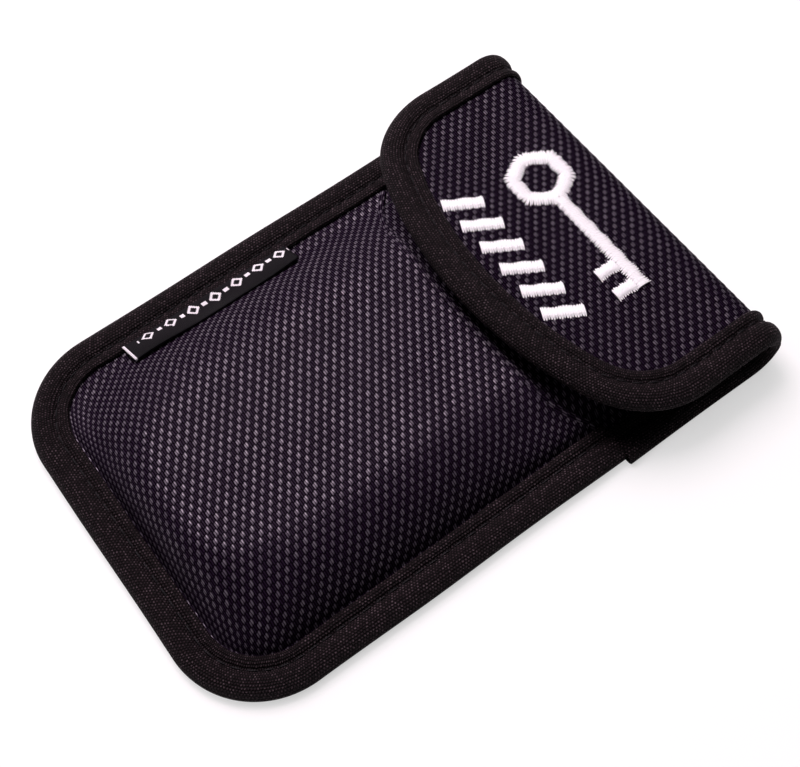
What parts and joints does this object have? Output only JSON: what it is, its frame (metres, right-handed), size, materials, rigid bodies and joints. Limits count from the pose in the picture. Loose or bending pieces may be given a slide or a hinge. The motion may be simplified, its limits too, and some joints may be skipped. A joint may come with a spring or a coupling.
{
  "type": "signal blocking key case",
  "caption": "Soft shielded key pouch with taped edges, an open front pocket, a shielded key pocket behind it and a fold-over flap that closes with hook and loop.",
  "frame": {"origin": "on the table, under the middle of the closed pouch lying on its back", "axes": "+X across the pouch, +Y from the rounded bottom up to the fold, +Z out of the front"},
  "size_m": [0.093, 0.134, 0.0173],
  "materials": {
    "ballistic_nylon": "coarse basket weave, dull with bright yarn highlights",
    "edge_tape": "ribbed woven tape, dull",
    "padding": "felted filling",
    "shielding_cloth": "metallised cloth, satin",
    "lining": "thin plain weave, satin",
    "hook_and_loop": "short pile",
    "label_satin": "woven satin",
    "white_thread": "satin stitch",
    "black_thread": "sewing thread"
  },
  "bodies": {
    "pouch": {"back_panel": "ballistic_nylon", "back_padding": "padding", "back_shield": "shielding_cloth", "back_lining": "lining", "divider_shield": "shielding_cloth", "divider_panel": "ballistic_nylon", "divider_binding": "edge_tape", "front_lining": "lining", "front_padding": "padding", "mouth_hem": "ballistic_nylon", "front_panel": "ballistic_nylon", "pocket_binding": "edge_tape", "pocket_stitching": "black_thread", "neck_binding_left": "edge_tape", "neck_binding_right": "edge_tape", "loop_patch": "hook_and_loop"},
    "label": {"side_label": "label_satin"},
    "fold": {"fold_panel": "ballistic_nylon", "fold_padding": "padding", "fold_shield": "shielding_cloth", "fold_lining": "lining", "fold_binding_left": "edge_tape", "fold_binding_right": "edge_tape"},
    "flap": {"flap_panel": "ballistic_nylon", "flap_padding": "padding", "flap_shield": "shielding_cloth", "flap_lining": "lining", "flap_binding": "edge_tape", "flap_stitching": "black_thread", "hook_patch": "hook_and_loop", "embroidery": "white_thread"}
  },
  "joints": [
    {"name": "fold_lower_hinge", "type": "hinge", "parent": "pouch", "child": "fold", "pos_m": [0, 0.06507, 0.00193], "axis": [-1, 0, 0], "range_deg": [0, 87]},
    {"name": "fold_upper_hinge", "type": "hinge", "parent": "fold", "child": "flap", "pos_m": [0, 0.06507, 0.01127], "axis": [-1, 0, 0], "range_deg": [0, 87]},
    {"name": "label_hinge", "type": "hinge", "parent": "pouch", "child": "label", "pos_m": [-0.0376, -0.02, 0.00384], "axis": [0, -1, 0], "range_deg": [0, 125]}
  ],
  "couplings": [
    {"joint": "fold_upper_hinge", "follows": "fold_lower_hinge", "ratio": 1}
  ]
}
